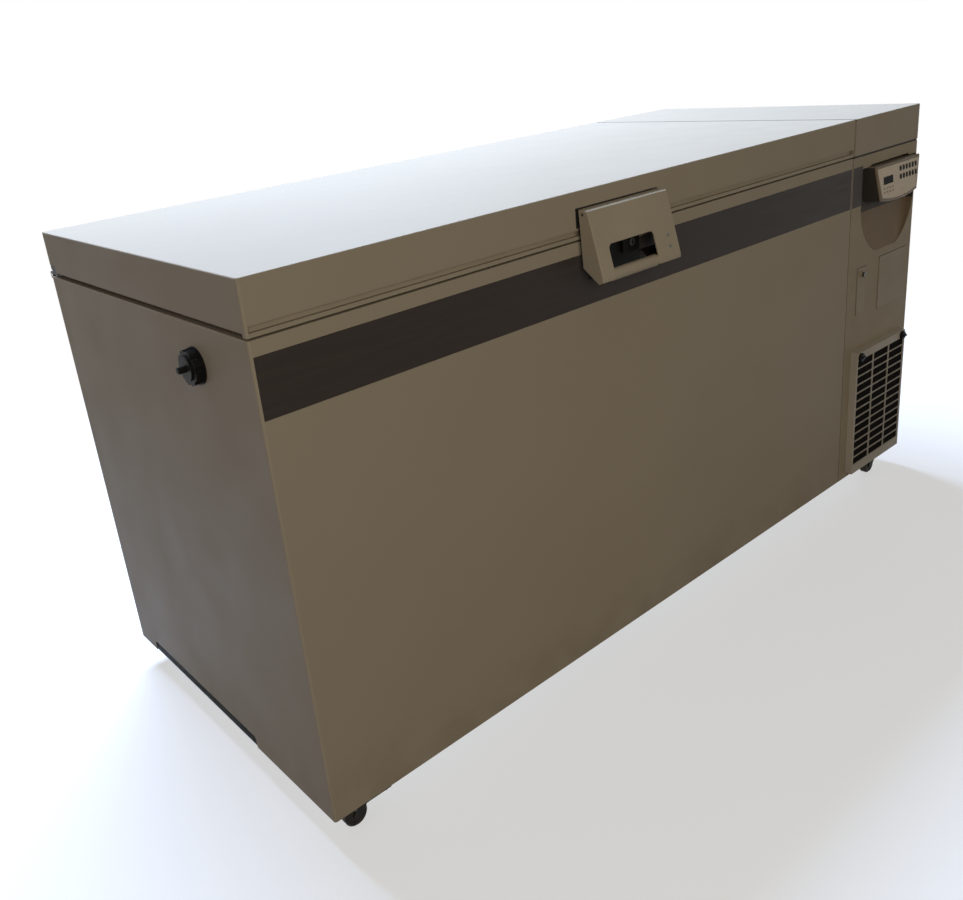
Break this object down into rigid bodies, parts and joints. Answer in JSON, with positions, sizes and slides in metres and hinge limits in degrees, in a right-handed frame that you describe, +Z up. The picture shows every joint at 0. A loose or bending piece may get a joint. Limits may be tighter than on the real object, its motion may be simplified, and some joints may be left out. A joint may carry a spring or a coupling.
{
  "type": "ultra low temperature chest freezer",
  "caption": "Insulated chest freezer with a hinged lid, a lever handle, a control panel and an intake grille on the machine end, on swivel casters",
  "frame": {"origin": "on the floor, under the middle of the whole part's box", "axes": "+Z up, front towards -Y, the machine end towards +X"},
  "size_m": [2.136, 0.939, 1.08],
  "materials": {
    "body_paint": "satin",
    "body_plastic": "matte",
    "handle_paint": "satin",
    "grille_plastic": "matte",
    "dark_film": "satin",
    "face_film": "satin",
    "display_glass": "gloss",
    "pad_film": "satin",
    "white_plastic": "satin",
    "grey_plastic": "satin",
    "black_plastic": "satin",
    "liner_steel": "satin",
    "zinc_sheet": "satin",
    "bright_steel": "gloss",
    "black_metal": "satin",
    "fin_metal": "satin",
    "copper": "satin",
    "foam": "matte",
    "filter_foam": "matte",
    "seal_rubber": "matte",
    "wheel_rubber": "satin"
  },
  "bodies": {
    "cabinet": {"cabinet_wrap": "body_paint", "rear_panel": "body_paint", "right_side_panel": "body_paint", "base_pan": "zinc_sheet", "bulkhead": "zinc_sheet", "inner_liner": "liner_steel", "breaker_collar": "white_plastic", "evaporator_coil": "copper", "cabinet_foam": "foam", "stripe": "dark_film", "hinge_cabinet_leaves": "black_metal", "hinge_pins": "bright_steel", "lock_block": "black_plastic", "machine_cover": "body_paint", "fascia": "body_plastic", "control_pod": "body_plastic", "control_face": "face_film", "display_window": "display_glass", "keypad_pads": "pad_film", "key_plate": "body_plastic", "blank_cover": "body_plastic", "condenser": "fin_metal", "fan_shroud": "zinc_sheet", "fan_motor": "black_metal", "compressor_first_stage": "black_metal", "compressor_second_stage": "black_metal", "compressor_grommets": "seal_rubber", "oil_separator": "black_metal", "heat_exchanger": "filter_foam", "control_box": "grey_plastic", "power_inlet": "black_plastic", "port_body": "black_plastic", "caster_plates": "black_metal"},
    "lid": {"lid_skin": "body_paint", "lid_frame": "grey_plastic", "lid_liner": "white_plastic", "lid_foam": "foam", "lid_gasket": "seal_rubber", "hinge_lid_leaves": "black_metal", "handle_bracket": "black_metal", "handle_pin": "bright_steel"},
    "handle": {"handle_lever": "handle_paint", "handle_grip": "handle_paint", "handle_screws": "bright_steel"},
    "lock_barrel": {"lock_barrel": "bright_steel"},
    "key_barrel": {"key_barrel": "bright_steel"},
    "grille": {"grille": "grille_plastic", "air_filter": "filter_foam"},
    "grille_knob_left": {"grille_knob_left": "black_plastic"},
    "grille_knob_right": {"grille_knob_right": "black_plastic"},
    "fan": {"fan": "fin_metal"},
    "port_pin": {"port_pin": "black_plastic"},
    "caster_fork_front_left": {"caster_fork_front_left": "black_metal"},
    "caster_wheel_front_left": {"caster_wheel_front_left": "wheel_rubber"},
    "caster_fork_front_right": {"caster_fork_front_right": "black_metal"},
    "caster_wheel_front_right": {"caster_wheel_front_right": "wheel_rubber"},
    "caster_fork_rear_left": {"caster_fork_rear_left": "black_metal"},
    "caster_wheel_rear_left": {"caster_wheel_rear_left": "wheel_rubber"},
    "caster_fork_rear_right": {"caster_fork_rear_right": "black_metal"},
    "caster_wheel_rear_right": {"caster_wheel_rear_right": "wheel_rubber"}
  },
  "joints": [
    {"name": "lid_hinge", "type": "hinge", "parent": "cabinet", "child": "lid", "pos_m": [0, 0.4615, 0.986], "axis": [-1, 0, 0], "range_deg": [0, 80], "stiffness_Nm_per_rad": 175, "springref_deg": 93.74},
    {"name": "handle_pull", "type": "hinge", "parent": "lid", "child": "handle", "pos_m": [0, -0.4235, 1.037], "axis": [-1, 0, 0], "range_deg": [0, 35]},
    {"name": "lock_turn", "type": "hinge", "parent": "cabinet", "child": "lock_barrel", "pos_m": [-0.173, -0.4085, 0.957], "axis": [0, -1, 0], "range_deg": [0, 90]},
    {"name": "key_turn", "type": "hinge", "parent": "cabinet", "child": "key_barrel", "pos_m": [0.7915, -0.4085, 0.667], "axis": [0, -1, 0], "range_deg": [0, 90]},
    {"name": "grille_tilt", "type": "hinge", "parent": "cabinet", "child": "grille", "pos_m": [0, -0.4095, 0.082], "axis": [1, 0, 0], "range_deg": [0, 30]},
    {"name": "grille_knob_left_turn", "type": "hinge", "parent": "grille", "child": "grille_knob_left", "pos_m": [0.77575, -0.4085, 0.437], "axis": [0, -1, 0], "range_deg": [0, 90]},
    {"name": "grille_knob_right_turn", "type": "hinge", "parent": "grille", "child": "grille_knob_right", "pos_m": [1.01175, -0.4085, 0.437], "axis": [0, -1, 0], "range_deg": [0, 90]},
    {"name": "fan_spin", "type": "hinge", "parent": "cabinet", "child": "fan", "pos_m": [0.89375, -0.4085, 0.27], "axis": [0, 1, 0], "continuous": true},
    {"name": "port_pin_push", "type": "slide", "parent": "cabinet", "child": "port_pin", "axis": [1, 0, 0], "range_m": [0, 0.008], "stiffness_N_per_m": 600, "springref_m": -0.004},
    {"name": "caster_swivel_front_left", "type": "hinge", "parent": "cabinet", "child": "caster_fork_front_left", "pos_m": [-0.948, -0.3685, 0.07], "axis": [0, 0, 1], "continuous": true},
    {"name": "caster_roll_front_left", "type": "hinge", "parent": "caster_fork_front_left", "child": "caster_wheel_front_left", "pos_m": [-0.97, -0.3685, 0.025], "axis": [0, 1, 0], "continuous": true},
    {"name": "caster_swivel_front_right", "type": "hinge", "parent": "cabinet", "child": "caster_fork_front_right", "pos_m": [0.984, -0.3685, 0.07], "axis": [0, 0, 1], "continuous": true},
    {"name": "caster_roll_front_right", "type": "hinge", "parent": "caster_fork_front_right", "child": "caster_wheel_front_right", "pos_m": [0.962, -0.3685, 0.025], "axis": [0, 1, 0], "continuous": true},
    {"name": "caster_swivel_rear_left", "type": "hinge", "parent": "cabinet", "child": "caster_fork_rear_left", "pos_m": [-0.948, 0.4115, 0.07], "axis": [0, 0, 1], "continuous": true},
    {"name": "caster_roll_rear_left", "type": "hinge", "parent": "caster_fork_rear_left", "child": "caster_wheel_rear_left", "pos_m": [-0.97, 0.4115, 0.025], "axis": [0, 1, 0], "continuous": true},
    {"name": "caster_swivel_rear_right", "type": "hinge", "parent": "cabinet", "child": "caster_fork_rear_right", "pos_m": [0.984, 0.4115, 0.07], "axis": [0, 0, 1], "continuous": true},
    {"name": "caster_roll_rear_right", "type": "hinge", "parent": "caster_fork_rear_right", "child": "caster_wheel_rear_right", "pos_m": [0.962, 0.4115, 0.025], "axis": [0, 1, 0], "continuous": true}
  ]
}
